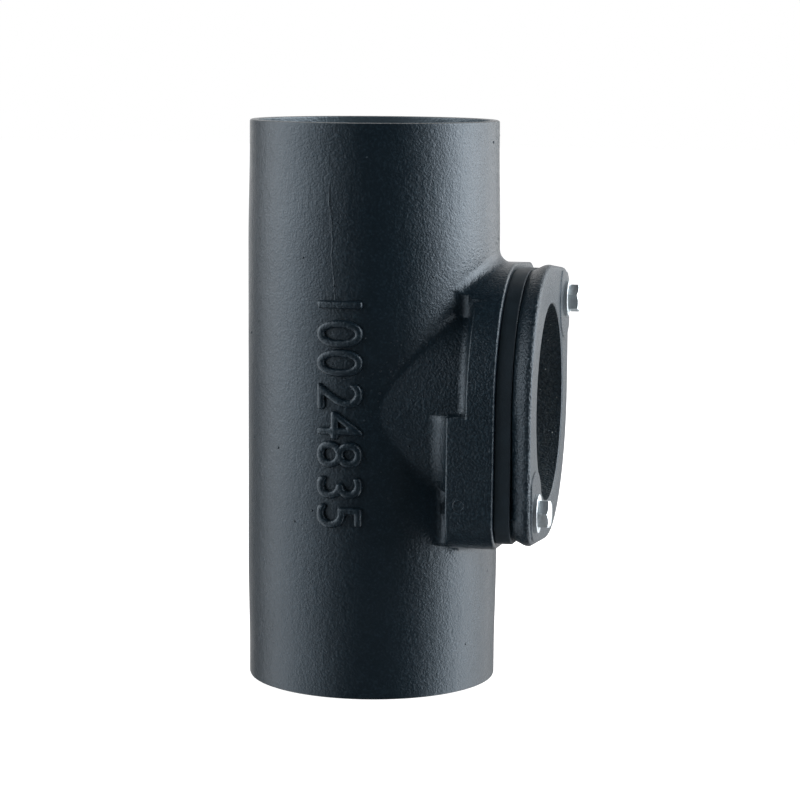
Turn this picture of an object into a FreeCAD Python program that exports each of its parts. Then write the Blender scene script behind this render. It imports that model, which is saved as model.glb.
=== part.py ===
"""Cast-iron soil access pipe, DN 100, in millimetres.

A short plain-ended pipe stands on its lower end, with its axis on +Z. A short branch
neck looks along +X and ends in an oval flange with two bolt lugs on a diagonal. A
dished cover closes it on a rubber gasket, held by two screws with flat washers.
"""
import FreeCAD
import Part

import math
import os

# Pipe: two plain ends with a slightly thicker body between them
pipe_diameter = 110.0
pipe_wall = 3.5
pipe_length = 248.0
plain_end = 42.0
body_swell = 0.65
swell_length = 12.0
swell_clearance = 1.0

# Access neck and its flange, whose axis lies a little above the pipe's middle
door_offset = 1.0
neck_inset = 1.0
neck_wall = 5.0
flange_standoff = 8.75
flange_thickness = 12.25
flange_overhang = 7.0
flange_lug_radius = 16.0
flange_edge_fillet = 1.2
flange_flare_length = 5.0
flange_flare_height = 5.0
boss_depth = 20.45
boss_edge_fillet = 1.0
boss_flare_length = 9.0
boss_flare_height = 5.6
crease_fillet = 6.0

# Screw positions, seen along the door axis: how far they lie outside the flange's circle
screw_offset = 1.5
screw_angle = 42.0

# Gasket, drawn in from the flange's outline
gasket_thickness = 6.9
gasket_inset = 2.5
gasket_edge_fillet = 0.6

# Cover, drawn in from the flange's outline
cover_thickness = 8.8
cover_inset = 0.5
cover_lug_inset = 2.0
cover_back_taper = 2.8
cover_taper_length = 5.6
cover_edge_fillet = 2.0
pad_height = 0.6
pad_radius = 18.0
recess_depth = 22.0
recess_draft = 2.5
recess_corner = 5.0
recess_rim_chamfer = 0.6
dish_wall = 4.0
dish_clearance = 1.5

# Screws and washers
screw_diameter = 8.0
screw_length = 35.0
screw_point_chamfer = 1.0
head_across_flats = 11.2
head_height = 4.4
head_collar = 0.4
head_chamfer_angle = 30.0
head_chamfer_width = 0.6
upper_head_turn = -17.0
lower_head_turn = -8.0
washer_diameter = 16.5
washer_thickness = 1.6
washer_edge_fillet = 0.3
screw_clearance = 1.0
thread_clearance = 0.05

# Height of the door's axis, and the neck, flange and recess as they follow from the pipe
door_height = pipe_length / 2 + door_offset
neck_diameter = pipe_diameter - 2 * neck_inset
neck_bore = neck_diameter - 2 * neck_wall
flange_radius = neck_diameter / 2 + flange_overhang
recess_diameter = neck_bore - 2 * (dish_wall + dish_clearance)

# Stations along the door axis
flange_face = pipe_diameter / 2 + flange_standoff
flange_back = flange_face - flange_thickness
boss_back = flange_face - boss_depth
cover_back = flange_face + gasket_thickness
cover_face = cover_back + cover_thickness
screw_seat = cover_face + pad_height
head_seat = screw_seat + washer_thickness

# Radii that follow from the sizes above
body_radius = pipe_diameter / 2 + body_swell
neck_radius = neck_diameter / 2
screw_reach = flange_radius + screw_offset
gasket_radius = flange_radius - gasket_inset
gasket_lug_radius = flange_lug_radius - gasket_inset
cover_radius = flange_radius - cover_inset
cover_lug_radius = flange_lug_radius - cover_lug_inset

Vector = FreeCAD.Vector
DOOR_AXIS = Vector(1, 0, 0)
OVERRUN = 5.0


def door_point(x, y, up):
    """A point given by its distance along the door axis, sideways and above it."""
    return Vector(x, y, door_height + up)


def screw_centres():
    """The two screw axes as (sideways, up), the upper one first."""
    turn = math.radians(screw_angle)
    upper = (screw_reach * math.cos(turn), screw_reach * math.sin(turn))
    return [upper, (-upper[0], -upper[1])]


def polar(x, centre, radius, angle):
    """A point on a circle round the given centre in the plane at x."""
    return door_point(x, centre[0] + radius * math.cos(angle), centre[1] + radius * math.sin(angle))


def line(start, end):
    return Part.LineSegment(start, end).toShape()


def arc(start, middle, end):
    return Part.Arc(start, middle, end).toShape()


def lugged_outline(x, radius, lug_radius):
    """A circle with two rounded lugs, joined by tangent lines, in the plane at x."""
    spread = math.acos((radius - lug_radius) / screw_reach)
    quarter = math.pi / 2
    heading = math.radians(screw_angle)
    upper, lower = screw_centres()
    edges = []
    for here, there in ((upper, lower), (lower, upper)):
        lug_end = polar(x, here, lug_radius, heading + spread)
        body_start = polar(x, (0, 0), radius, heading + spread)
        body_end = polar(x, (0, 0), radius, heading + math.pi - spread)
        next_lug = polar(x, there, lug_radius, heading + math.pi - spread)
        lug_start = polar(x, here, lug_radius, heading - spread)
        lug_tip = polar(x, here, lug_radius, heading)
        body_top = polar(x, (0, 0), radius, heading + quarter)
        edges.append(arc(lug_start, lug_tip, lug_end))
        edges.append(line(lug_end, body_start))
        edges.append(arc(body_start, body_top, body_end))
        edges.append(line(body_end, next_lug))
        heading += math.pi
    return Part.Wire(edges)


def lugged_plate(back, front, radius, lug_radius):
    """A flat plate with the lugged outline between two stations."""
    face = Part.Face(lugged_outline(back, radius, lug_radius))
    return face.extrude(Vector(front - back, 0, 0))


def door_cylinder(back, front, radius, centre=(0, 0)):
    """A round bar along the door axis."""
    return Part.makeCylinder(radius, front - back, door_point(back, *centre), DOOR_AXIS)


def outline_edges(shape, x):
    """The outer edges of a plate that lie in the plane at x."""
    found = []
    for edge in shape.Edges:
        box = edge.BoundBox
        if abs(box.XMin - x) < 1e-4 and abs(box.XMax - x) < 1e-4:
            found.append(edge)
    return found


def revolved(points, arcs=()):
    """A solid turned round the door axis from a profile of (x, radius) points.

    Each entry of arcs is (index, bulge point) and bends the edge that starts there.
    """
    bends = dict(arcs)
    corners = [door_point(x, 0, radius) for x, radius in points]
    edges = []
    for index, start in enumerate(corners):
        end = corners[(index + 1) % len(corners)]
        if index in bends:
            edges.append(arc(start, door_point(bends[index][0], 0, bends[index][1]), end))
        else:
            edges.append(line(start, end))
    face = Part.Face(Part.Wire(edges))
    return face.revolve(door_point(0, 0, 0), DOOR_AXIS, 360)


def swell_points(door_distance):
    """The swell's S-curve as five (radius, distance from the pipe's end) points.

    The door's crease may leave it less than its full length.
    """
    room = door_distance - flange_radius - crease_fillet - swell_clearance - plain_end
    length = min(swell_length, room)
    bend = (length ** 2 + body_swell ** 2) / (4 * body_swell)
    turn = math.asin(length / (2 * bend))
    lean = bend * (1 - math.cos(turn / 2))
    along = bend * math.sin(turn / 2)
    return [
        (pipe_diameter / 2, plain_end),
        (pipe_diameter / 2 + lean, plain_end + along),
        (pipe_diameter / 2 + body_swell / 2, plain_end + length / 2),
        (body_radius - lean, plain_end + length - along),
        (body_radius, plain_end + length),
    ]


def pipe_outside():
    """The plain-ended pipe as a solid bar, swelling gently to its body between the ends."""
    end_radius = pipe_diameter / 2
    lower = swell_points(door_height)
    upper = [(radius, pipe_length - height) for radius, height in swell_points(pipe_length - door_height)]
    swell = [[Vector(radius, 0, height) for radius, height in side] for side in (lower, upper[::-1])]
    corners = [Vector(0, 0, 0), Vector(end_radius, 0, 0)]
    edges = [line(corners[0], corners[1]), line(corners[1], swell[0][0])]
    for side in swell:
        edges.append(arc(*side[0:3]))
        edges.append(arc(*side[2:5]))
        if side is swell[0]:
            edges.append(line(side[4], swell[1][0]))
    top = [Vector(end_radius, 0, pipe_length), Vector(0, 0, pipe_length)]
    edges += [line(swell[1][4], top[0]), line(top[0], top[1]), line(top[1], corners[0])]
    return Part.Face(Part.Wire(edges)).revolve(corners[0], Vector(0, 0, 1), 360)


def neck_flare(station, full_length, full_height):
    """The ring that sweeps out from the neck to a flange back at the station.

    It starts tangent to the neck, and its height off the neck stays below the flange's edge.
    """
    height = min(full_height, 0.8 * flange_overhang)
    length = full_length * height / full_height
    bend = (length ** 2 + height ** 2) / (2 * height)
    half = math.asin(min(1.0, length / bend)) / 2
    start = station - length
    middle = (start + bend * math.sin(half), neck_radius + bend * (1 - math.cos(half)))
    inner = (neck_radius + neck_bore / 2) / 2
    points = [(start, neck_radius), (station, neck_radius + height), (station, inner), (start, inner)]
    return revolved(points, [(0, middle)])


def lug_quadrants(back, front):
    """Two diagonal quarter blocks that hold the lugs, one below in front, one above behind."""
    size = 2 * flange_radius
    depth = front - back
    near = Part.makeBox(depth, size, size, door_point(back, -size, -size))
    far = Part.makeBox(depth, size, size, door_point(back, 0, 0))
    return near, far


def lug_bosses():
    """The deeper quarters of the flange behind the two tapped lugs."""
    block = lugged_plate(boss_back, flange_face - 2 * flange_edge_fillet, flange_radius, flange_lug_radius)
    bosses = []
    for quadrant in lug_quadrants(boss_back, flange_face):
        boss = block.common(quadrant)
        fillet = min(boss_edge_fillet, 0.2 * flange_overhang)
        bosses.append(boss.makeFillet(fillet, boss_outer_edges(boss)))
    return bosses


def boss_outer_edges(boss):
    """The back edges of a boss along the flange outline and along its step."""
    found = []
    for edge in outline_edges(boss, boss_back):
        middle = edge.valueAt((edge.FirstParameter + edge.LastParameter) / 2)
        if math.hypot(middle.y, middle.z - door_height) > neck_radius:
            found.append(edge)
    return found


def crease_edges(shape):
    """The edges where the neck and flange run out on the outside of the pipe's body."""
    found = []
    for edge in shape.Edges:
        span = edge.LastParameter - edge.FirstParameter
        samples = [edge.valueAt(edge.FirstParameter + span * step / 6) for step in range(7)]
        on_pipe = all(abs(math.hypot(point.x, point.y) - body_radius) < 1e-3 for point in samples)
        level = max(point.z for point in samples) - min(point.z for point in samples) < 1e-3
        on_seam = max(abs(point.y) for point in samples) < 1e-3
        if on_pipe and not level and not on_seam:
            found.append(edge)
    return found


def pipe_casting():
    """The outside of the pipe, neck, flange and bosses as one solid."""
    neck = door_cylinder(0, flange_back + OVERRUN, neck_radius)
    flange = lugged_plate(flange_back, flange_face, flange_radius, flange_lug_radius)
    flange = flange.makeFillet(flange_edge_fillet, outline_edges(flange, flange_face))
    casting = pipe_outside().fuse([neck, flange] + lug_bosses()).removeSplitter()
    casting = casting.makeFillet(min(crease_fillet, 0.9 * flange_overhang), crease_edges(casting))
    deep_flare = neck_flare(boss_back, boss_flare_length, boss_flare_height)
    flares = [neck_flare(flange_back, flange_flare_length, flange_flare_height)]
    for quadrant in lug_quadrants(boss_back - 2 * boss_flare_length, flange_face):
        flares.append(deep_flare.common(quadrant))
    return casting.fuse(flares)


def pipe_body():
    """The casting, bored through along the pipe and the neck, with its tapped lugs."""
    bore = Part.makeCylinder(pipe_diameter / 2 - pipe_wall, pipe_length + 2 * OVERRUN, Vector(0, 0, -OVERRUN))
    neck_hole = door_cylinder(0, flange_face + OVERRUN, neck_bore / 2)
    body = pipe_casting().cut([bore, neck_hole])
    hole_radius = screw_diameter / 2 + thread_clearance
    for centre in screw_centres():
        body = body.cut(door_cylinder(boss_back - OVERRUN, flange_face + OVERRUN, hole_radius, centre))
    return body


def door_gasket():
    """The flat rubber ring between the flange and the cover."""
    plate = lugged_plate(flange_face, cover_back, gasket_radius, gasket_lug_radius)
    edges = outline_edges(plate, flange_face) + outline_edges(plate, cover_back)
    plate = plate.makeFillet(gasket_edge_fillet, edges)
    plate = plate.cut(door_cylinder(flange_face - OVERRUN, cover_back + OVERRUN, neck_bore / 2))
    hole_radius = screw_diameter / 2 + screw_clearance / 2
    for centre in screw_centres():
        plate = plate.cut(door_cylinder(flange_face - OVERRUN, cover_back + OVERRUN, hole_radius, centre))
    return plate


def cover_plate():
    """The lugged cover plate, tapered towards its back and rounded at its face."""
    shoulder = cover_back + cover_taper_length
    back = lugged_outline(cover_back, cover_radius - cover_back_taper, cover_lug_radius - cover_back_taper)
    front = lugged_outline(shoulder, cover_radius, cover_lug_radius)
    taper = Part.makeLoft([back, front], True, True)
    rim = lugged_plate(shoulder, cover_face, cover_radius, cover_lug_radius)
    rim = rim.makeFillet(cover_edge_fillet, outline_edges(rim, cover_face))
    return taper.fuse(rim)


def screw_pads():
    """The low round seats on the cover face under the washers."""
    limit = lugged_plate(
        cover_face - pad_height,
        screw_seat,
        cover_radius - cover_edge_fillet,
        cover_lug_radius - cover_edge_fillet,
    )
    pads = []
    for centre in screw_centres():
        pads.append(door_cylinder(cover_face - pad_height, screw_seat, pad_radius, centre).common(limit))
    return pads


def dish_profile(mouth, floor, mouth_radius, corner):
    """A drafted cup with a rounded corner, as profile points and one arc for a revolve."""
    slope = math.tan(math.radians(recess_draft))
    floor_radius = mouth_radius - slope * (mouth - floor)
    lean = math.radians(90 - recess_draft)
    setback = corner * math.tan(lean / 2)
    side = (floor + setback * math.cos(math.radians(recess_draft)),
            floor_radius + setback * math.sin(math.radians(recess_draft)))
    base = (floor, floor_radius - setback)
    centre = (floor + corner, floor_radius - setback)
    half = math.radians(180) - lean / 2
    bulge = (centre[0] + corner * math.cos(half), centre[1] + corner * math.sin(half))
    return [(floor, 0), base, side, (mouth, mouth_radius), (mouth, 0)], [(1, bulge)]


def door_cover():
    """The cover plate with its deep round dish and two screw holes."""
    recess_radius = recess_diameter / 2
    floor = cover_face - recess_depth
    outside = revolved(*dish_profile(cover_back + pad_height, floor - dish_wall,
                                     recess_radius + dish_wall, recess_corner + dish_wall))
    hollow = revolved(*dish_profile(screw_seat, floor, recess_radius, recess_corner))
    cover = cover_plate().fuse([outside] + screw_pads()).removeSplitter().cut(hollow)
    chamfer = Part.makeCone(
        recess_radius,
        recess_radius + recess_rim_chamfer,
        recess_rim_chamfer,
        door_point(cover_face - recess_rim_chamfer, 0, 0),
        DOOR_AXIS,
    )
    cover = cover.cut(chamfer)
    hole_radius = screw_diameter / 2 + screw_clearance / 2
    for centre in screw_centres():
        cover = cover.cut(door_cylinder(cover_back - OVERRUN, screw_seat + OVERRUN, hole_radius, centre))
    return cover


def washer(centre):
    """A flat washer on its seat."""
    disc = door_cylinder(screw_seat, head_seat, washer_diameter / 2, centre)
    disc = disc.makeFillet(washer_edge_fillet, outline_edges(disc, head_seat))
    hole_radius = screw_diameter / 2 + screw_clearance / 4
    return disc.cut(door_cylinder(screw_seat - OVERRUN, head_seat + OVERRUN, hole_radius, centre))


def hexagon(x, centre, turn):
    """The six-sided outline of a screw head."""
    corner = head_across_flats / math.sqrt(3)
    points = [polar(x, centre, corner, math.radians(turn + 60 * step)) for step in range(6)]
    return Part.makePolygon(points + points[:1])


def screw(centre, turn):
    """A hexagon-head screw, its head chamfered and standing on a thin collar."""
    base = head_seat + head_collar
    top = base + head_height
    flat = head_across_flats / 2
    prism = Part.Face(hexagon(base, centre, turn)).extrude(Vector(top - base, 0, 0))
    crown_radius = flat - head_chamfer_width
    reach = flat + 2 * head_chamfer_width
    drop = (reach - crown_radius) * math.tan(math.radians(head_chamfer_angle))
    crown = Part.makeCone(reach, crown_radius, drop, door_point(top - drop, *centre), DOOR_AXIS)
    crown = crown.fuse(door_cylinder(base, top - drop, reach, centre))
    head = prism.common(crown)
    collar = door_cylinder(head_seat, base, flat, centre)
    tip = head_seat - screw_length
    shank = door_cylinder(tip, head_seat, screw_diameter / 2, centre)
    shank = shank.makeChamfer(screw_point_chamfer, outline_edges(shank, tip))
    return shank.fuse([collar, head]).removeSplitter()


def save(name, shape):
    """Write one piece to its STEP file and report what it is."""
    solid = shape.Solids[0] if len(shape.Solids) == 1 else shape
    solid.exportStep(os.path.join("parts", name + ".step"))
    print(name, "valid", solid.isValid(), "solids", len(shape.Solids), "volume %.0f" % solid.Volume)


def main():
    os.makedirs("parts", exist_ok=True)
    upper, lower = screw_centres()
    save("pipe_body", pipe_body())
    save("door_gasket", door_gasket())
    save("door_cover", door_cover())
    save("upper_washer", washer(upper))
    save("lower_washer", washer(lower))
    save("upper_screw", screw(upper, upper_head_turn))
    save("lower_screw", screw(lower, lower_head_turn))


main()
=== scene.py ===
"""Visual model of a cast-iron soil access pipe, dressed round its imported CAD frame.

The pipe stands on its lower end at the origin, with its axis on +Z and its bolted access
door looking along +X. Lengths are metres.
"""
import math
import random

import bmesh
import bpy
from bpy.props import FloatProperty, FloatVectorProperty, IntProperty, PointerProperty, StringProperty
from mathutils import Matrix, Vector
from mathutils import noise as random_field
from mathutils.bvhtree import BVHTree


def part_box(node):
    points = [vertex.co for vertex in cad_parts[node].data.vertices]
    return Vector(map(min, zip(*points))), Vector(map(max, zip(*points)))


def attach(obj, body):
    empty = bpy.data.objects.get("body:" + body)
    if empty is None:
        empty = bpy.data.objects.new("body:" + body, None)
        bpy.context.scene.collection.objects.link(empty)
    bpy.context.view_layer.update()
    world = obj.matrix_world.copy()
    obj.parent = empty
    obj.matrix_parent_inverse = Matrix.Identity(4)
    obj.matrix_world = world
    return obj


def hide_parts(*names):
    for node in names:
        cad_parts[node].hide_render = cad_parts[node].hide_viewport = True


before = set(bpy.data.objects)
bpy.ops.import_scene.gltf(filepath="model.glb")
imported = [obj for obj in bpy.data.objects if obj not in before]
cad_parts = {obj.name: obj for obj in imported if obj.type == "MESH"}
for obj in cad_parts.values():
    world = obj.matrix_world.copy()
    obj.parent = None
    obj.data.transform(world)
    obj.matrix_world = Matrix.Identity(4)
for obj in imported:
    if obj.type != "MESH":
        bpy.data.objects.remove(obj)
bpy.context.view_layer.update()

bl_info = {
    "name": "Soil access pipe",
    "version": (1, 0, 0),
    "blender": (4, 5, 0),
    "location": "3D View > Sidebar > Access Pipe",
    "description": "Dresses a cast-iron soil access pipe and sets its studio",
    "category": "Object",
}

MM = 0.001

# Points nearer to each other than this are taken for one
TINY = 0.001 * MM

# Sizes read from the frame
PIPE_RADIUS = -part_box("pipe_body")[0].x
PIPE_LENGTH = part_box("pipe_body")[1].z
DOOR_HEIGHT = (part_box("door_gasket")[0].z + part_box("door_gasket")[1].z) / 2
FLANGE_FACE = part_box("door_gasket")[0].x
COVER_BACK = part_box("door_gasket")[1].x


def linear(hex_colour):
    """The linear value of an sRGB hex colour."""
    channels = []
    for start in (0, 2, 4):
        value = int(hex_colour[start:start + 2], 16) / 255
        channels.append(value / 12.92 if value <= 0.04045 else ((value + 0.055) / 1.055) ** 2.4)
    return tuple(channels)


class AccessPipeFinish(bpy.types.PropertyGroup):
    """Colours and textures of the pieces."""

    coat: FloatVectorProperty(
        name="Coat", description="Blue-grey epoxy coat on the iron", subtype="COLOR", size=3,
        min=0, max=1, default=linear("0C1820"),
    )
    coat_worn: FloatVectorProperty(
        name="Thin coat", description="Coat where it lies thin over the casting", subtype="COLOR", size=3,
        min=0, max=1, default=linear("24343E"),
    )
    # Painted light inside the bore: a paler colour that stands in for the light reaching the bore's wall
    bore_painted_light: FloatVectorProperty(
        name="Lining", description="Paler, duller coat inside the bore", subtype="COLOR", size=3,
        min=0, max=1, default=linear("3E4A52"),
    )
    gloss: FloatVectorProperty(
        name="Gloss tint", description="Cool tint of the coat's gloss", subtype="COLOR", size=3,
        min=0, max=1, default=linear("DFF0FF"),
    )
    dust: FloatVectorProperty(
        name="Dust", description="Pale dust caught in the cover's dish", subtype="COLOR", size=3,
        min=0, max=1, default=linear("B9BCB8"),
    )
    rubber: FloatVectorProperty(
        name="Rubber", description="Black gasket rubber", subtype="COLOR", size=3,
        min=0, max=1, default=linear("04121A"),
    )
    steel: FloatVectorProperty(
        name="Plating", description="Bright zinc plating on the screws and washers", subtype="COLOR", size=3,
        min=0, max=1, default=linear("D3DBE0"),
    )
    sand_grain: FloatProperty(
        name="Sand grain", description="Size of the casting's fine grain", subtype="DISTANCE", unit="LENGTH",
        min=0.1 * MM, max=5 * MM, default=0.95 * MM,
    )
    sand_relief: FloatProperty(
        name="Sand relief", description="Height of the casting's fine grain", subtype="DISTANCE",
        unit="LENGTH", min=0, max=1 * MM, default=0.22 * MM,
    )


class AccessPipeRelief(bpy.types.PropertyGroup):
    """Sizes of the raised marks and of the rounded edges."""

    numerals: StringProperty(
        name="Numerals", description="Plain cast numerals: nominal size and length in mm, wall in tenths",
        default="100 248 35",
    )
    numeral_height: FloatProperty(
        name="Numeral height", description="Height of a numeral round the pipe", subtype="DISTANCE",
        unit="LENGTH", min=5 * MM, max=40 * MM, default=19.2 * MM,
    )
    numeral_row: FloatProperty(
        name="Row length", description="Length of the row of numerals along the pipe", subtype="DISTANCE",
        unit="LENGTH", min=20 * MM, max=150 * MM, default=97 * MM,
    )
    numeral_top: FloatProperty(
        name="Row start", description="Height at which the row starts", subtype="DISTANCE", unit="LENGTH",
        min=0, max=0.3, default=172.5 * MM,
    )
    numeral_relief: FloatProperty(
        name="Numeral relief", description="How far the numerals stand off the pipe", subtype="DISTANCE",
        unit="LENGTH", min=0.1 * MM, max=3 * MM, default=2.3 * MM,
    )
    numeral_sink: FloatProperty(
        name="Numeral sink", description="How deep the middle of the numerals' solid lies in the wall",
        subtype="DISTANCE", unit="LENGTH", min=0, max=1.5 * MM, default=1.1 * MM,
    )
    numeral_angle: FloatProperty(
        name="Numeral angle", description="Direction of the row's middle round the pipe's axis",
        subtype="ANGLE", unit="ROTATION", default=math.radians(-93.6),
    )
    flange_rounding: FloatProperty(
        name="Flange rounding", description="Rounding of the flange's back edge", subtype="DISTANCE",
        unit="LENGTH", min=0.1 * MM, max=1.5 * MM, default=0.9 * MM,
    )
    cover_rounding: FloatProperty(
        name="Cover rounding", description="Rounding of the shoulder in front of the cover's taper",
        subtype="DISTANCE", unit="LENGTH", min=0.1 * MM, max=3 * MM, default=1.6 * MM,
    )
    end_rounding: FloatProperty(
        name="End rounding", description="Rounding of the edges of the pipe's cut ends", subtype="DISTANCE",
        unit="LENGTH", min=0.1 * MM, max=1.5 * MM, default=0.9 * MM,
    )
    ridge_width: FloatProperty(
        name="Ridge width", description="Width of the ridge at the mould's parting line", subtype="DISTANCE",
        unit="LENGTH", min=0.2 * MM, max=4 * MM, default=0.9 * MM,
    )
    ridge_relief: FloatProperty(
        name="Ridge relief", description="Height of the ridge at the mould's parting line",
        subtype="DISTANCE", unit="LENGTH", min=0.05 * MM, max=1 * MM, default=0.16 * MM,
    )
    pimple_size: FloatProperty(
        name="Pimple size", description="Radius of the larger nodules on the casting", subtype="DISTANCE",
        unit="LENGTH", min=0.2 * MM, max=2 * MM, default=0.75 * MM,
    )
    pimple_count: IntProperty(
        name="Pimples", description="Number of nodules on the casting's outside",
        min=0, max=1000, default=260,
    )


class AccessPipeStudio(bpy.types.PropertyGroup):
    """Place, direction and lens of the camera."""

    camera_place: FloatVectorProperty(
        name="Camera place", description="Where the camera stands", subtype="XYZ", unit="LENGTH", size=3,
        default=(0.2316, -1.1595, 0.2822),
    )
    camera_heading: FloatProperty(
        name="Heading", description="Turn of the camera about the vertical", subtype="ANGLE", unit="ROTATION",
        default=math.radians(10.7197),
    )
    camera_tilt: FloatProperty(
        name="Tilt", description="Tilt of the camera up from straight down", subtype="ANGLE", unit="ROTATION",
        default=math.radians(82.3537),
    )
    camera_roll: FloatProperty(
        name="Roll", description="Roll of the camera about its line of sight", subtype="ANGLE",
        unit="ROTATION", default=math.radians(0.407),
    )
    camera_lens: FloatProperty(
        name="Lens", description="Focal length on a 36 mm sensor", unit="CAMERA", min=10, max=300,
        default=120.3,
    )


# Sockets of a Mix node that mixes colours: its share, its two colours and its result
SHARE, FIRST, SECOND, MIXED = 0, 6, 7, 2


def add_node(material, kind, inputs=None, **settings):
    """Add one node with its settings, each given input fed by a value or by another's output."""
    tree = material.node_tree
    node = tree.nodes.new(kind)
    for name, value in settings.items():
        setattr(node, name, value)
    for socket, value in (inputs or {}).items():
        if isinstance(value, bpy.types.NodeSocket):
            tree.links.new(value, node.inputs[socket])
        else:
            node.inputs[socket].default_value = value
    return node


def new_material(name):
    """A material with no nodes yet."""
    material = bpy.data.materials.new(name)
    material.use_nodes = True
    material.node_tree.nodes.clear()
    return material


def opaque(colour):
    """A linear colour as a node's colour input takes it."""
    return (*colour, 1.0)


def reach_from(material, place, middle, mask):
    """The distance from a line through the middle, along the axis that the mask leaves out."""
    offset = add_node(material, "ShaderNodeVectorMath", {0: place, 1: middle}, operation="SUBTRACT")
    flat = add_node(material, "ShaderNodeVectorMath", {0: offset.outputs["Vector"], 1: mask},
                    operation="MULTIPLY")
    away = add_node(material, "ShaderNodeVectorMath", {0: flat.outputs["Vector"]}, operation="LENGTH")
    return away.outputs["Value"]


# Noises of the coated casting: the size of their lumps in sand grains, and their detail
CASTING_NOISES = {"sand": (1, 3), "fine": (0.5, 1), "peel": (3, 1), "swell": (24, 1), "patches": (48, 3)}

# Distances from the pipe's axis at which the painted light inside the bore, a paler colour standing in for
# the light that reaches its wall, gives way to the outer coat
BORE_LIGHT_EDGE = (51.6 * MM, 52 * MM)

# Distance from the pipe's axis, just outside the body's surface, at which the grain starts to change
GRAIN_START = 55.9 * MM

# Grain of what stands out from the body: the distance from the axis at which it is in full, and
# its strength on the body and at that distance
GRAIN_STRENGTH = {"sand": (63 * MM, 1.0, 1.5), "fine": (61 * MM, 0.0, 0.6)}

# Heights of the coat's slow swell and of its orange peel
SWELL_RELIEF = 0.25 * MM
PEEL_RELIEF = 0.13 * MM


def coated_iron(name, finish, coarseness=1.0, dish=False):
    """Sand-cast grey iron under a sprayed blue-grey epoxy coat.

    The coat is semi-gloss and flows over the sand's grain, so the edges of its highlights
    break up into fine streaks, with a slow orange peel and paler spots where it lies thin.
    What stands out from the pipe has a deeper grain and finer pale spots. A coarser casting
    has deeper grain all over and a duller coat.
    """
    material = new_material(name)
    place = add_node(material, "ShaderNodeTexCoord").outputs["Object"]
    from_axis = reach_from(material, place, (0, 0, 0), (1, 1, 0))
    noise = {}
    for kind, (size, detail) in CASTING_NOISES.items():
        lumps = add_node(material, "ShaderNodeTexNoise",
                         {"Vector": place, "Scale": 1 / (size * finish.sand_grain), "Detail": detail})
        noise[kind] = lumps.outputs["Fac"]
    grains = {}
    for kind, (full, on_body, beyond) in GRAIN_STRENGTH.items():
        centred = add_node(material, "ShaderNodeMath", {0: noise[kind], 1: 0.5}, operation="SUBTRACT")
        strength = add_node(material, "ShaderNodeMapRange",
                            {"Value": from_axis, "From Min": GRAIN_START, "From Max": full,
                             "To Min": on_body, "To Max": beyond})
        scaled = add_node(material, "ShaderNodeMath", {0: centred.outputs[0], 1: strength.outputs[0]},
                          operation="MULTIPLY")
        grains[kind] = scaled.outputs[0]
    spots = add_node(material, "ShaderNodeMath", {0: grains["sand"], 1: grains["fine"]}, operation="ADD")
    thin = add_node(material, "ShaderNodeMapRange",
                    {"Value": spots.outputs[0], "From Max": 0.22, "To Max": 0.6})
    coat = add_node(material, "ShaderNodeMix", data_type="RGBA",
                    inputs={SHARE: thin.outputs[0], FIRST: opaque(finish.coat),
                            SECOND: opaque(finish.coat_worn)})
    shade = add_node(material, "ShaderNodeMapRange",
                     {"Value": noise["patches"], "From Min": 0.35, "From Max": 0.65, "To Max": 0.3})
    deep_coat = opaque(0.75 * channel for channel in finish.coat)
    shaded = add_node(material, "ShaderNodeMix", data_type="RGBA",
                      inputs={SHARE: shade.outputs[0], FIRST: coat.outputs[MIXED], SECOND: deep_coat})
    # Painted light: inside the bore the coat gives way to a paler colour that stands in for the light
    # reaching the wall
    in_bore = add_node(material, "ShaderNodeMapRange",
                       {"Value": from_axis, "From Min": BORE_LIGHT_EDGE[0], "From Max": BORE_LIGHT_EDGE[1],
                        "To Min": 1.0, "To Max": 0.0})
    coloured = add_node(material, "ShaderNodeMix", data_type="RGBA",
                        inputs={SHARE: in_bore.outputs[0], FIRST: shaded.outputs[MIXED],
                                SECOND: opaque(finish.bore_painted_light)})
    colour = coloured.outputs[MIXED]
    if dish:
        colour = dusted(material, place, colour, finish)
    dullness = coarseness ** 0.3
    rough = add_node(material, "ShaderNodeMapRange",
                     {"Value": noise["patches"], "From Min": 0.3, "From Max": 0.7,
                      "To Min": 0.28 * dullness, "To Max": 0.35 * dullness})
    normal = add_node(material, "ShaderNodeBump", {"Height": noise["swell"], "Distance": SWELL_RELIEF})
    for height, distance in ((noise["peel"], PEEL_RELIEF), (grains["sand"], finish.sand_relief)):
        normal = add_node(material, "ShaderNodeBump",
                          {"Height": height, "Distance": distance * coarseness, "Normal": normal.outputs[0]})
    shader = add_node(material, "ShaderNodeBsdfPrincipled",
                      {"Base Color": colour, "Roughness": rough.outputs[0], "Normal": normal.outputs[0],
                       "IOR": 1.5, "Specular Tint": opaque(finish.gloss)})
    add_node(material, "ShaderNodeOutputMaterial", {"Surface": shader.outputs["BSDF"]})
    return material


# Distances from the door's axis between which the dust in the cover's dish ends, the spacing of
# its specks and the sizes of the clusters that they lie in and of the film's clouds
DISH_EDGE = (43.2 * MM, 43.6 * MM)
SPECK_SPACING = 2.6 * MM
SPECK_CLUSTER = 5 * MM
FILM_CLOUD = 1.2 * MM


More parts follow.
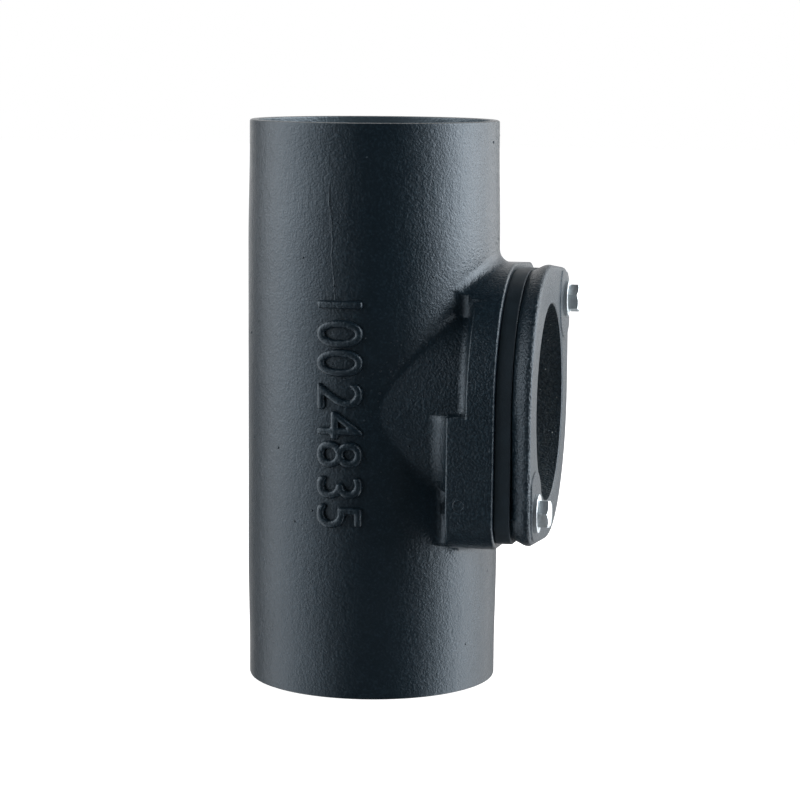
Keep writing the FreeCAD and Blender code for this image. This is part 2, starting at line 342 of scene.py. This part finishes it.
def dusted(material, place, colour, finish):
    """The colour with a thin film and pale specks of dust caught in the cover's dish."""
    cells = add_node(material, "ShaderNodeTexVoronoi", {"Vector": place, "Scale": 1 / SPECK_SPACING},
                     feature="F1")
    specks = add_node(material, "ShaderNodeMapRange",
                      {"Value": cells.outputs["Distance"], "From Min": 0.08, "From Max": 0.17,
                       "To Min": 0.75, "To Max": 0.0})
    clusters = add_node(material, "ShaderNodeTexNoise",
                        {"Vector": place, "Scale": 1 / SPECK_CLUSTER, "Detail": 2})
    chosen = add_node(material, "ShaderNodeMapRange",
                      {"Value": clusters.outputs["Fac"], "From Min": 0.48, "From Max": 0.54})
    spread = add_node(material, "ShaderNodeMath", {0: specks.outputs[0], 1: chosen.outputs[0]},
                      operation="MULTIPLY")
    clouds = add_node(material, "ShaderNodeTexNoise",
                      {"Vector": place, "Scale": 1 / FILM_CLOUD, "Detail": 3})
    film = add_node(material, "ShaderNodeMapRange",
                    {"Value": clouds.outputs["Fac"], "From Min": 0.35, "From Max": 0.7,
                     "To Min": 0.01, "To Max": 0.07})
    dust = add_node(material, "ShaderNodeMath", {0: spread.outputs[0], 1: film.outputs[0]},
                    operation="MAXIMUM")
    inside = add_node(material, "ShaderNodeMapRange",
                      {"Value": reach_from(material, place, (0, 0, DOOR_HEIGHT), (0, 1, 1)),
                       "From Min": DISH_EDGE[0], "From Max": DISH_EDGE[1], "To Min": 1.0, "To Max": 0.0})
    share = add_node(material, "ShaderNodeMath", {0: dust.outputs[0], 1: inside.outputs[0]},
                     operation="MULTIPLY")
    powdered = add_node(material, "ShaderNodeMix", data_type="RGBA",
                        inputs={SHARE: share.outputs[0], FIRST: colour, SECOND: opaque(finish.dust)})
    return powdered.outputs[MIXED]


def clouded_surface(name, colour, other, clouds, roughness, grain, shading):
    """A material whose colour and gloss drift in soft clouds over a fine grain.

    The clouds give their size, the noise between which the other colour comes in and its
    greatest share. The grain gives its size, detail and height.
    """
    cloud_size, low, high, most = clouds
    grain_size, grain_detail, grain_relief = grain
    material = new_material(name)
    place = add_node(material, "ShaderNodeTexCoord").outputs["Object"]
    cloud = add_node(material, "ShaderNodeTexNoise", {"Vector": place, "Scale": 1 / cloud_size, "Detail": 3})
    share = add_node(material, "ShaderNodeMapRange",
                     {"Value": cloud.outputs["Fac"], "From Min": low, "From Max": high, "To Max": most})
    mixed = add_node(material, "ShaderNodeMix", data_type="RGBA",
                     inputs={SHARE: share.outputs[0], FIRST: opaque(colour), SECOND: opaque(other)})
    rough = add_node(material, "ShaderNodeMapRange",
                     {"Value": cloud.outputs["Fac"], "From Min": 0.3, "From Max": 0.7,
                      "To Min": roughness[0], "To Max": roughness[1]})
    fine = add_node(material, "ShaderNodeTexNoise",
                    {"Vector": place, "Scale": 1 / grain_size, "Detail": grain_detail})
    normal = add_node(material, "ShaderNodeBump", {"Height": fine.outputs["Fac"], "Distance": grain_relief})
    shader = add_node(material, "ShaderNodeBsdfPrincipled",
                      {"Base Color": mixed.outputs[MIXED], "Roughness": rough.outputs[0],
                       "Normal": normal.outputs[0], **shading})
    add_node(material, "ShaderNodeOutputMaterial", {"Surface": shader.outputs["BSDF"]})
    return material


def gasket_rubber(finish):
    """Moulded EPDM rubber: matt and nearly black, with a faint bloom over its fine grain."""
    pale = [min(1.0, 1.5 * channel) for channel in finish.rubber]
    return clouded_surface("moulded_epdm_rubber", finish.rubber, pale, clouds=(6 * MM, 0.4, 0.7, 0.6),
                           roughness=(0.52, 0.64), grain=(0.6 * MM, 1, 0.05 * MM),
                           shading={"IOR": 1.5, "Specular Tint": opaque(finish.gloss)})


def zinc_plated_steel(finish):
    """Cold-headed steel with bright zinc plating: metallic, slightly clouded and scuffed."""
    dull = [0.6 * channel for channel in finish.steel]
    return clouded_surface("zinc_plated_steel", finish.steel, dull, clouds=(2.5 * MM, 0.45, 0.7, 0.5),
                           roughness=(0.42, 0.56), grain=(0.5 * MM, 2, 0.03 * MM),
                           shading={"Metallic": 1.0})


def dress(node, material):
    """Give a CAD node its material."""
    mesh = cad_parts[node].data
    if not mesh.materials:
        mesh.materials.append(material)
    for index in range(len(mesh.materials)):
        mesh.materials[index] = material


def mesh_object(name, shell, material):
    """A new object in the scene, made from a bmesh."""
    mesh = bpy.data.meshes.new(name)
    shell.to_mesh(mesh)
    shell.free()
    mesh.materials.append(material)
    piece = bpy.data.objects.new(name, mesh)
    bpy.context.scene.collection.objects.link(piece)
    return piece


def shown_object(name, shell, material):
    """A finished piece that rides with the pipe, made from a bmesh."""
    piece = mesh_object(name, shell, material)
    piece.data.shade_smooth()
    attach(piece, "root")
    return piece


def on_pipe(across, along, rise, angle=0.0):
    """A point on the pipe: across its surface from an angle, at a height, and off the surface."""
    turn = angle + across / PIPE_RADIUS
    radius = PIPE_RADIUS + rise
    return Vector((radius * math.cos(turn), radius * math.sin(turn), along))


def merged_copy(node):
    """A watertight bmesh copy of a CAD node's mesh."""
    shell = bmesh.new()
    shell.from_mesh(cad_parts[node].data)
    bmesh.ops.remove_doubles(shell, verts=shell.verts, dist=TINY)
    return shell


def standing_on(place, normal):
    """The matrix that stands a shape upright on a surface at a place."""
    return Matrix.Translation(place) @ normal.to_track_quat("Z", "Y").to_matrix().to_4x4()


def round_edges(shell, edges, radius, segments):
    """Round some edges of a bmesh."""
    bmesh.ops.bevel(shell, geom=edges, offset=radius, offset_type="OFFSET", segments=segments,
                    profile=0.5, affect="EDGES", clamp_overlap=True, material=-1)


# How the numerals are made: the gap between groups against the usual one, the distance at which
# the outline's points merge, the grain of the skin laid round them, how far it is grown, and the
# rounds of smoothing that it gets
GROUP_GAP = 0.3
OUTLINE_MERGE = 1e-5
SKIN_GRAIN = 0.4 * MM
SKIN_GROWTH = 0.5 * MM
SKIN_ROUNDS = 18


def flat_numerals(relief):
    """The row of numerals lying flat as a finely divided solid, with softened cast edges.

    Its length runs along +X from zero, its height along +Y, and its face looks along +Z.
    """
    curve = bpy.data.curves.new("numeral_outline", "FONT")
    curve.body = relief.numerals
    curve.extrude = 0.5
    curve.space_word = GROUP_GAP
    outline = bpy.data.objects.new("numeral_outline", curve)
    bpy.context.scene.collection.objects.link(outline)
    flat = bpy.data.meshes.new_from_object(outline)
    bpy.data.objects.remove(outline)
    bpy.data.curves.remove(curve)
    solid = bmesh.new()
    solid.from_mesh(flat)
    bmesh.ops.remove_doubles(solid, verts=solid.verts, dist=OUTLINE_MERGE)
    low, high = extent(solid)
    bmesh.ops.translate(solid, verts=solid.verts, vec=(-low.x, -low.y, 0))
    size = high - low
    depth = 2 * (relief.numeral_relief + relief.numeral_sink - SKIN_GROWTH)
    scale = (relief.numeral_row / size.x, relief.numeral_height / size.y, depth)
    bmesh.ops.scale(solid, verts=solid.verts, vec=scale)
    solid.to_mesh(flat)
    solid.free()
    return softened(flat, SKIN_GRAIN, SKIN_GROWTH, SKIN_ROUNDS)


def extent(shell):
    """The lowest and highest corners of a bmesh."""
    low = Vector([min(vert.co[axis] for vert in shell.verts) for axis in range(3)])
    high = Vector([max(vert.co[axis] for vert in shell.verts) for axis in range(3)])
    return low, high


def softened(mesh, grain, growth, rounds):
    """A bmesh of the mesh rebuilt as an even skin, grown and smoothed, which rounds its edges."""
    holder = bpy.data.objects.new(mesh.name, mesh)
    bpy.context.scene.collection.objects.link(holder)
    skin = holder.modifiers.new("skin", "REMESH")
    skin.mode = "VOXEL"
    skin.voxel_size = grain
    grow = holder.modifiers.new("grow", "DISPLACE")
    grow.strength = growth
    grow.mid_level = 0
    soften = holder.modifiers.new("soften", "SMOOTH")
    soften.factor = 0.5
    soften.iterations = rounds
    depsgraph = bpy.context.evaluated_depsgraph_get()
    even = bpy.data.meshes.new_from_object(holder.evaluated_get(depsgraph))
    bpy.data.objects.remove(holder)
    shell = bmesh.new()
    shell.from_mesh(even)
    bpy.data.meshes.remove(even)
    return shell


# How a parting ridge is made: the length of a step, the lengths over which its line wavers, slowly
# and quickly, and over which its height does, the quick waver against the slow one, the least,
# mean and swing of its height against the relief, and how many of its fading ends would fill it
RIDGE_STEP = 1.2 * MM
SLOW_WAVER = 7 * MM
QUICK_WAVER = 2 * MM
HEIGHT_WAVER = 4 * MM
QUICK_SHARE = 0.4
LEAST_HEIGHT = 0.02
MEAN_HEIGHT = 0.4
HEIGHT_SWING = 1.6
RIDGE_FADES = 6


def ridge(start, end, width, relief):
    """A low wavering ridge on the pipe between two (angle, height) points, half sunk in its wall."""
    count = max(2, round(abs(end[1] - start[1]) / RIDGE_STEP))
    bar = bmesh.new()
    bmesh.ops.create_cone(bar, cap_ends=True, cap_tris=False, segments=8, radius1=0.5, radius2=0.5, depth=1)
    long_edges = [edge for edge in bar.edges if abs(edge.verts[0].co.z - edge.verts[1].co.z) > 0.5]
    bmesh.ops.subdivide_edges(bar, edges=long_edges, cuts=count - 1, use_grid_fill=True)
    for vert in bar.verts:
        share = vert.co.z + 0.5
        along = start[1] + share * (end[1] - start[1])
        angle = start[0] + share * (end[0] - start[0])
        waver = random_field.noise(Vector((angle, 0, along / SLOW_WAVER))) * width
        waver += random_field.noise(Vector((angle, 9, along / QUICK_WAVER))) * QUICK_SHARE * width
        fade = min(1.0, RIDGE_FADES * share, RIDGE_FADES * (1 - share)) ** 0.5
        bulge = MEAN_HEIGHT + HEIGHT_SWING * random_field.noise(Vector((3, angle, along / HEIGHT_WAVER)))
        rise = 2 * vert.co.y * relief * max(LEAST_HEIGHT, bulge) * fade
        vert.co = on_pipe(vert.co.x * width * fade + waver, along, rise, angle)
    bmesh.ops.recalc_face_normals(bar, faces=bar.faces)
    return bar


def add_pimple(shell, place, normal, radius, flatness):
    """A small nodule half sunk in the surface at a place."""
    shape = standing_on(place, normal) @ Matrix.Diagonal((1, 1, flatness, 1))
    bmesh.ops.create_icosphere(shell, subdivisions=1, radius=radius, matrix=shape)


# The radius of the pipe's plain ends, where the swell to its body starts and ends, measured from
# an end, the rings cut into it, and how far inside that radius a point still counts as outer
PLAIN_RADIUS = 55 * MM
SWELL_START = 8 * MM
SWELL_END = 54 * MM
SWELL_CUTS = 7
SWELL_SLACK = 0.1 * MM

# The flange's thickness and the length of the taper at the cover's back, both along the door's
# axis, the least distance of their outlines from it, and the slack in finding their edges
FLANGE_THICKNESS = 12.25 * MM
COVER_TAPER = 5.6 * MM
FLANGE_REACH = 60.9 * MM
COVER_REACH = 60.4 * MM
STATION_SLACK = 0.005 * MM

# Least turn between the faces at an edge: of the pipe's cut ends, of the flange's back, of the
# cover's shoulder, and of an edge that is shaded sharp
END_TURN = math.radians(60)
FLANGE_TURN = math.radians(80)
SHOULDER_TURN = math.radians(15)
SHARP_TURN = math.radians(32)


class PieceOperator:
    """What the operators that make or dress a piece share."""

    bl_options = {"REGISTER", "UNDO"}

    @property
    def finish(self):
        """The panel's colours and textures."""
        return bpy.context.scene.access_pipe_finish

    @property
    def relief(self):
        """The panel's sizes of the raised marks and of the rounded edges."""
        return bpy.context.scene.access_pipe_relief


class ACCESSPIPE_OT_dress_casting(PieceOperator, bpy.types.Operator):
    """Ease the pipe casting's swells, round the edges of its ends and flange, and coat it"""

    bl_idname = "accesspipe.dress_casting"
    bl_label = "Dress the pipe casting"

    def execute(self, context):
        coat = coated_iron("epoxy_coated_cast_iron", self.finish)
        dress("pipe_body", coat)
        shell = merged_copy("pipe_body")
        ease_swell(shell)
        ends = [edge for edge in shell.edges if on_pipe_end(edge)]
        round_edges(shell, ends, self.relief.end_rounding, segments=2)
        back = outline_edges(shell, FLANGE_FACE - FLANGE_THICKNESS, FLANGE_REACH, FLANGE_TURN)
        round_edges(shell, back, self.relief.flange_rounding, segments=4)
        piece = shown_object("pipe_casting", shell, coat)
        shade_evenly(piece)
        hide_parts("pipe_body")
        return {"FINISHED"}


def ease_swell(shell):
    """Spread the swell between the plain ends and the body over a longer slope."""
    for step in range(1, SWELL_CUTS + 1):
        rise = SWELL_START + step * (SWELL_END - SWELL_START) / (SWELL_CUTS + 1)
        for height in (rise, PIPE_LENGTH - rise):
            bmesh.ops.bisect_plane(shell, geom=shell.verts[:] + shell.edges[:] + shell.faces[:],
                                   dist=TINY, plane_co=(0, 0, height), plane_no=(0, 0, 1))
    for vert in shell.verts:
        from_end = min(vert.co.z, PIPE_LENGTH - vert.co.z)
        reach = math.hypot(vert.co.x, vert.co.y)
        if from_end < SWELL_END and reach > PLAIN_RADIUS - SWELL_SLACK:
            share = max(0.0, min(1.0, (from_end - SWELL_START) / (SWELL_END - SWELL_START)))
            share = share * share * (3 - 2 * share)
            eased = PLAIN_RADIUS + share * (PIPE_RADIUS - PLAIN_RADIUS)
            vert.co.x *= eased / reach
            vert.co.y *= eased / reach


def on_pipe_end(edge):
    """Whether an edge is one of the circles that bound the pipe's cut ends."""
    heights = [vert.co.z for vert in edge.verts]
    level = abs(heights[0] - heights[1]) < TINY
    at_end = heights[0] < TINY or heights[0] > PIPE_LENGTH - TINY
    return level and at_end and len(edge.link_faces) == 2 and edge.calc_face_angle() > END_TURN


def outline_edges(shell, station, least_reach, least_turn):
    """The edges of a plate's outline at a station along the door's axis that turn by enough."""
    found = []
    for edge in shell.edges:
        off_station = max(abs(vert.co.x - station) for vert in edge.verts)
        if off_station > STATION_SLACK or len(edge.link_faces) != 2:
            continue
        reach = min(math.hypot(vert.co.y, vert.co.z - DOOR_HEIGHT) for vert in edge.verts)
        if reach > least_reach and edge.calc_face_angle() > least_turn:
            found.append(edge)
    if not found:
        raise RuntimeError(f"no outline edge found at {station:.5f} m")
    return found


def shade_evenly(piece):
    """Smooth shading that keeps the true edges and lets the broad faces lead."""
    piece.data.set_sharp_from_angle(angle=SHARP_TURN)
    even = piece.modifiers.new("even_shading", "WEIGHTED_NORMAL")
    even.keep_sharp = True


class ACCESSPIPE_OT_cast_numerals(PieceOperator, bpy.types.Operator):
    """Cast a row of plain numerals on the side of the pipe, reading downwards"""

    bl_idname = "accesspipe.cast_numerals"
    bl_label = "Cast the numerals"

    def execute(self, context):
        relief = self.relief
        row = flat_numerals(relief)
        for vert in row.verts:
            across = vert.co.y - relief.numeral_height / 2
            rise = vert.co.z - relief.numeral_sink
            vert.co = on_pipe(across, relief.numeral_top - vert.co.x, rise, relief.numeral_angle)
        bmesh.ops.recalc_face_normals(row, faces=row.faces)
        shown_object("cast_numerals", row, bpy.data.materials["epoxy_coated_cast_iron"])
        return {"FINISHED"}


class ACCESSPIPE_OT_cast_marks(PieceOperator, bpy.types.Operator):
    """Leave the mould's marks on the pipe: its parting ridges, a ring mark and sand pimples"""

    bl_idname = "accesspipe.cast_marks"
    bl_label = "Leave the cast marks"

    def execute(self, context):
        coat = bpy.data.materials["epoxy_coated_cast_iron"]
        relief = self.relief
        for name, points, share in PARTING_RIDGES:
            start, end = ((math.radians(angle), height * MM) for angle, height in points)
            shell = ridge(start, end, relief.ridge_width, share * relief.ridge_relief)
            shown_object(name, shell, coat)
        body = merged_copy("pipe_body")
        metal = BVHTree.FromBMesh(body)
        body.free()
        marks = {"sand_pimples": sand_pimples(relief, metal), "boss_ring_mark": ring_mark(metal)}
        for name, shell in marks.items():
            keep_in_box(shell, "pipe_body")
            shown_object(name, shell, coat)
        return {"FINISHED"}


# Parting ridges on the pipe: name, the (angle, height) of their ends in degrees and mm, and their
# share of the relief
PARTING_RIDGES = (
    ("front_parting_ridge", ((-98.8, 222), (-96.0, 170)), 1.0),
    ("back_parting_ridge", ((88.0, 226), (91.0, 36)), 0.8),
)

# Where nodules gather: share of their number, middle and spread of the angle in degrees and of
# the height in mm, and share of their full size
PIMPLE_FIELDS = (
    (0.4, 0, 120, 124, 90, 1.0),
    (0.2, -70, 12, 132, 16, 0.9),
    (0.4, -67, 7, 134, 8, 0.55),
)

# Seed of the nodules' random draws, and how far they keep from the pipe's ends and the flange's face
PIMPLE_SEED = 7
PIMPLE_END_GAP = 6 * MM
PIMPLE_FACE_GAP = 2 * MM

# Distance from the pipe's axis, well outside the casting, at which a ray towards it starts
RAY_START = 0.2

# Ring on the near boss: its place along the door's axis, its height and its radius in mm, and the
# radius of its round section
RING_MARK = (49.3, 88.0, 2.3)
RING_TUBE = 0.3 * MM


def keep_in_box(shell, node):
    """Flatten what would stand past a CAD node's box, so the dressed piece keeps its size."""
    low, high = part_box(node)
    for vert in shell.verts:
        for axis in range(3):
            vert.co[axis] = min(max(vert.co[axis], low[axis]), high[axis])


def sand_pimples(relief, metal):
    """Nodules scattered over the casting where sand broke from the mould, thickest beside the neck."""
    dice = random.Random(PIMPLE_SEED)
    shell = bmesh.new()
    for share, turn, turn_spread, rise, rise_spread, size in PIMPLE_FIELDS:
        for _ in range(round(share * relief.pimple_count)):
            angle = math.radians(dice.gauss(turn, turn_spread))
            height = dice.gauss(rise, rise_spread) * MM
            radius = relief.pimple_size * size * dice.uniform(0.5, 1.0) ** 2
            outside = Vector((math.cos(angle), math.sin(angle), 0))
            start = Vector((0, 0, height)) + outside * RAY_START
            place, normal = metal.ray_cast(start, -outside)[:2]
            in_reach = PIMPLE_END_GAP < height < PIPE_LENGTH - PIMPLE_END_GAP
            if in_reach and place is not None and place.x < FLANGE_FACE - PIMPLE_FACE_GAP:
                add_pimple(shell, place, normal, radius, flatness=dice.uniform(0.35, 0.6))
    return shell


def ring_mark(metal):
    """A faint raised ring on the side of the near boss."""
    along, height, radius = (size * MM for size in RING_MARK)
    place, normal = metal.ray_cast(Vector((along, -RAY_START, height)), Vector((0, 1, 0)))[:2]
    if place is None:
        raise RuntimeError("the ring mark misses the boss")
    shell = bmesh.new()
    across = Matrix.Translation((radius, 0, 0)) @ Matrix.Rotation(math.radians(90), 4, "X")
    bmesh.ops.create_circle(shell, segments=8, radius=RING_TUBE, matrix=across)
    bmesh.ops.spin(shell, geom=shell.verts[:] + shell.edges[:], cent=(0, 0, 0), axis=(0, 0, 1),
                   angle=math.radians(360), steps=32, use_merge=True)
    bmesh.ops.transform(shell, matrix=standing_on(place, normal), verts=shell.verts)
    bmesh.ops.recalc_face_normals(shell, faces=shell.faces)
    return shell


class ACCESSPIPE_OT_dress_door(PieceOperator, bpy.types.Operator):
    """Round the shoulder of the door cover and give it and its gasket their finishes"""

    bl_idname = "accesspipe.dress_door"
    bl_label = "Dress the door"

    def execute(self, context):
        coat = coated_iron("epoxy_coated_cover_iron", self.finish, coarseness=1.6, dish=True)
        dress("door_cover", coat)
        shell = merged_copy("door_cover")
        shoulder = outline_edges(shell, COVER_BACK + COVER_TAPER, COVER_REACH, SHOULDER_TURN)
        round_edges(shell, shoulder, self.relief.cover_rounding, segments=6)
        piece = shown_object("cover_casting", shell, coat)
        shade_evenly(piece)
        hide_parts("door_cover")
        dress("door_gasket", gasket_rubber(self.finish))
        return {"FINISHED"}


class ACCESSPIPE_OT_dress_fasteners(PieceOperator, bpy.types.Operator):
    """Give the screws and washers their plating"""

    bl_idname = "accesspipe.dress_fasteners"
    bl_label = "Dress the fasteners"

    def execute(self, context):
        plating = zinc_plated_steel(self.finish)
        for node in ("upper_screw", "lower_screw", "upper_washer", "lower_washer"):
            dress(node, plating)
        return {"FINISHED"}


class ACCESSPIPE_OT_add_stage(bpy.types.Operator):
    """Set the floor, the lamps, the background and the camera"""

    bl_idname = "accesspipe.add_stage"
    bl_label = "Set the studio"
    bl_options = {"REGISTER", "UNDO"}

    def execute(self, context):
        add_floor()
        add_dark_tent()
        add_polished_table()
        add_background()
        for azimuth, power in SOFTBOXES:
            add_softbox(azimuth, power)
        add_camera(context.scene.access_pipe_studio)
        return {"FINISHED"}


# Backdrop's white
WHITE = "FFFFFF"

# The floor: half its width, its depth under the origin, the grey of its paper, the distances from
# the origin between which its glow changes, and its glow at them
FLOOR_REACH = 6.0
FLOOR_DEPTH = 0.1 * MM
FLOOR_PAPER = "CBCBCB"
GLOW_FADE = (0.2, 0.6)
FLOOR_GLOW = (0.82, 1.0)

# The world's strength where it lights the pieces, against 1 where it is seen
WORLD_LIGHT = 0.12

# Dark cloth round the set: its radius and height in metres, its lift off the floor, its grey, the
# number of its flat sides and the azimuths in degrees between which it is open
TENT_RADIUS = 1.5
TENT_HEIGHT = 1.6
TENT_LIFT = 0.2 * MM
TENT_GREY = "272727"
TENT_SIDES = 72
TENT_OPENING = (79, 136)

# The polished table top: its lift off the floor, its grey and its roughness
TABLE_LIFT = 0.1 * MM
TABLE_GREY = "D1D1D1"
TABLE_ROUGHNESS = 0.12

# Upright softboxes in a ring round the set: the azimuth in degrees and the power in watts of each
SOFTBOXES = (
    (160, 1.7),
    (180, 6.3),
    (-160, 6.5),
    (-140, 4.2),
    (-120, 1.3),
    (-20, 3.4),
    (0, 12.3),
    (20, 12.5),
    (40, 4.6),
    (60, 3.8),
)

# A softbox's distance from the pipe's axis, the height of its middle, its width and its length
SOFTBOX_DISTANCE = 1.1
SOFTBOX_HEIGHT = 0.66
SOFTBOX_WIDTH = 0.388
SOFTBOX_LENGTH = 1.28

# The camera's sensor in mm, and the nearest and farthest that it sees in metres
SENSOR_WIDTH = 36
NEAREST = 0.05
FARTHEST = 50


def seen_directly(material):
    """One for camera, glossy and transmission rays, and nothing for the rest."""
    rays = add_node(material, "ShaderNodeLightPath").outputs
    share = add_node(material, "ShaderNodeMath", {0: rays["Is Camera Ray"], 1: rays["Is Glossy Ray"]},
                     operation="MAXIMUM")
    seen = add_node(material, "ShaderNodeMath", {0: share.outputs[0], 1: rays["Is Transmission Ray"]},
                    operation="MAXIMUM")
    return seen.outputs[0]


def seen_in_gloss(name, kind, values):
    """A material that shows one shader to glossy rays and is clear to all the others."""
    material = new_material(name)
    rays = add_node(material, "ShaderNodeLightPath")
    shown = add_node(material, kind, values)
    clear = add_node(material, "ShaderNodeBsdfTransparent")
    both = add_node(material, "ShaderNodeMixShader",
                    {0: rays.outputs["Is Glossy Ray"], 1: clear.outputs[0], 2: shown.outputs[0]})
    add_node(material, "ShaderNodeOutputMaterial", {"Surface": both.outputs[0]})
    return material


def stage_object(name, sheet, material):
    """A stage piece made from a bmesh."""
    piece = mesh_object(name, sheet, material)


def add_floor():
    """A wide white floor that keeps a soft shadow under the pipe and meets the backdrop's white."""
    material = new_material("white_studio_floor")
    place = add_node(material, "ShaderNodeTexCoord").outputs["Object"]
    away = add_node(material, "ShaderNodeVectorMath", {0: place}, operation="LENGTH")
    white = add_node(material, "ShaderNodeMapRange",
                     {"Value": away.outputs["Value"], "From Min": GLOW_FADE[0], "From Max": GLOW_FADE[1],
                      "To Min": FLOOR_GLOW[0], "To Max": FLOOR_GLOW[1]}, interpolation_type="SMOOTHSTEP")
    strength = add_node(material, "ShaderNodeMath", {0: seen_directly(material), 1: white.outputs[0]},
                        operation="MULTIPLY")
    paper = add_node(material, "ShaderNodeBsdfDiffuse", {"Color": opaque(linear(FLOOR_PAPER))})
    glow = add_node(material, "ShaderNodeEmission",
                    {"Color": opaque(linear(WHITE)), "Strength": strength.outputs[0]})
    both = add_node(material, "ShaderNodeAddShader", {0: paper.outputs[0], 1: glow.outputs[0]})
    add_node(material, "ShaderNodeOutputMaterial", {"Surface": both.outputs[0]})
    sheet = bmesh.new()
    bmesh.ops.create_grid(sheet, x_segments=1, y_segments=1, size=FLOOR_REACH)
    bmesh.ops.translate(sheet, verts=sheet.verts, vec=(0, 0, -FLOOR_DEPTH))
    stage_object("studio_floor", sheet, material)


def add_dark_tent():
    """A dark cloth round the pipe that only its gloss sees, open towards the white backdrop."""
    material = seen_in_gloss("dark_flag_cloth", "ShaderNodeBsdfDiffuse",
                             {"Color": opaque(linear(TENT_GREY))})
    tent = bmesh.new()
    bmesh.ops.create_cone(tent, cap_ends=True, cap_tris=True, segments=TENT_SIDES, radius1=TENT_RADIUS,
                          radius2=TENT_RADIUS, depth=TENT_HEIGHT)
    bmesh.ops.translate(tent, verts=tent.verts, vec=(0, 0, TENT_HEIGHT / 2 + TENT_LIFT))
    open_faces = []
    for face in tent.faces:
        middle = face.calc_center_median()
        azimuth = math.degrees(math.atan2(middle.y, middle.x))
        in_wall = abs(face.normal.z) < 0.5
        in_base = middle.z < 1 * MM
        if in_base or in_wall and TENT_OPENING[0] < azimuth < TENT_OPENING[1]:
            open_faces.append(face)
    bmesh.ops.delete(tent, geom=open_faces, context="FACES")
    stage_object("dark_tent", tent, material)


def add_polished_table():
    """A polished table top that only the pipe's gloss sees, which carries each softbox on below."""
    material = seen_in_gloss("polished_table_top", "ShaderNodeBsdfAnisotropic",
                             {"Color": opaque(linear(TABLE_GREY)), "Roughness": TABLE_ROUGHNESS})
    sheet = bmesh.new()
    bmesh.ops.create_circle(sheet, cap_ends=True, segments=TENT_SIDES, radius=TENT_RADIUS)
    bmesh.ops.translate(sheet, verts=sheet.verts, vec=(0, 0, TABLE_LIFT))
    stage_object("polished_table", sheet, material)


def add_background():
    """A white background with a dimmer light of its own on the pipe."""
    world = bpy.data.worlds.new("studio_background")
    world.use_nodes = True
    world.node_tree.nodes.clear()
    strength = add_node(world, "ShaderNodeMapRange", {"Value": seen_directly(world), "To Min": WORLD_LIGHT})
    light = add_node(world, "ShaderNodeBackground",
                     {"Color": opaque(linear(WHITE)), "Strength": strength.outputs[0]})
    add_node(world, "ShaderNodeOutputWorld", {"Surface": light.outputs[0]})
    bpy.context.scene.world = world


def add_softbox(azimuth, power):
    """An upright softbox in the ring, facing the pipe's axis."""
    lamp = bpy.data.lights.new("softbox", "AREA")
    lamp.shape = "RECTANGLE"
    lamp.size = SOFTBOX_WIDTH
    lamp.size_y = SOFTBOX_LENGTH
    lamp.energy = power
    piece = bpy.data.objects.new("softbox", lamp)
    piece.visible_camera = False
    turn = Matrix.Rotation(math.radians(azimuth + 90), 4, "Z") @ Matrix.Rotation(math.radians(90), 4, "X")
    away = Vector((math.cos(math.radians(azimuth)), math.sin(math.radians(azimuth)), 0))
    piece.matrix_world = Matrix.Translation(away * SOFTBOX_DISTANCE + Vector((0, 0, SOFTBOX_HEIGHT))) @ turn
    bpy.context.scene.collection.objects.link(piece)


def add_camera(studio):
    """The camera at the photograph's viewing angle."""
    camera = bpy.data.objects.new("camera", bpy.data.cameras.new("camera"))
    camera.data.lens = studio.camera_lens
    camera.data.sensor_width = SENSOR_WIDTH
    camera.data.clip_start = NEAREST
    camera.data.clip_end = FARTHEST
    turn = (Matrix.Rotation(studio.camera_heading, 4, "Z")
            @ Matrix.Rotation(studio.camera_tilt, 4, "X")
            @ Matrix.Rotation(studio.camera_roll, 4, "Z"))
    camera.matrix_world = Matrix.Translation(Vector(studio.camera_place)) @ turn
    bpy.context.scene.collection.objects.link(camera)
    bpy.context.scene.camera = camera
    bpy.context.scene.view_settings.view_transform = "Standard"


class ACCESSPIPE_PT_panel(bpy.types.Panel):
    """The access pipe's settings and operators"""

    bl_label = "Access Pipe"
    bl_idname = "ACCESSPIPE_PT_panel"
    bl_space_type = "VIEW_3D"
    bl_region_type = "UI"
    bl_category = "Access Pipe"

    def draw(self, context):
        for group in ("access_pipe_finish", "access_pipe_relief", "access_pipe_studio"):
            settings = getattr(context.scene, group)
            box = self.layout.box()
            for name in settings.__annotations__:
                box.prop(settings, name)
        for operator in OPERATORS:
            self.layout.operator(operator.bl_idname)


OPERATORS = (
    ACCESSPIPE_OT_dress_casting,
    ACCESSPIPE_OT_cast_numerals,
    ACCESSPIPE_OT_cast_marks,
    ACCESSPIPE_OT_dress_door,
    ACCESSPIPE_OT_dress_fasteners,
    ACCESSPIPE_OT_add_stage,
)
SETTINGS = {
    "access_pipe_finish": AccessPipeFinish,
    "access_pipe_relief": AccessPipeRelief,
    "access_pipe_studio": AccessPipeStudio,
}


def register():
    """Register the settings, the operators and the panel."""
    for group in SETTINGS.values():
        bpy.utils.register_class(group)
    for name, group in SETTINGS.items():
        setattr(bpy.types.Scene, name, PointerProperty(type=group))
    for shown in (*OPERATORS, ACCESSPIPE_PT_panel):
        bpy.utils.register_class(shown)


def unregister():
    """Take back all that register adds."""
    for shown in (ACCESSPIPE_PT_panel, *reversed(OPERATORS)):
        bpy.utils.unregister_class(shown)
    for name, group in SETTINGS.items():
        delattr(bpy.types.Scene, name)
        bpy.utils.unregister_class(group)


def main():
    """Register the add-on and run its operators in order."""
    register()
    for operator in OPERATORS:
        group, name = operator.bl_idname.split(".")
        getattr(getattr(bpy.ops, group), name)()


if __name__ == "__main__":
    main()
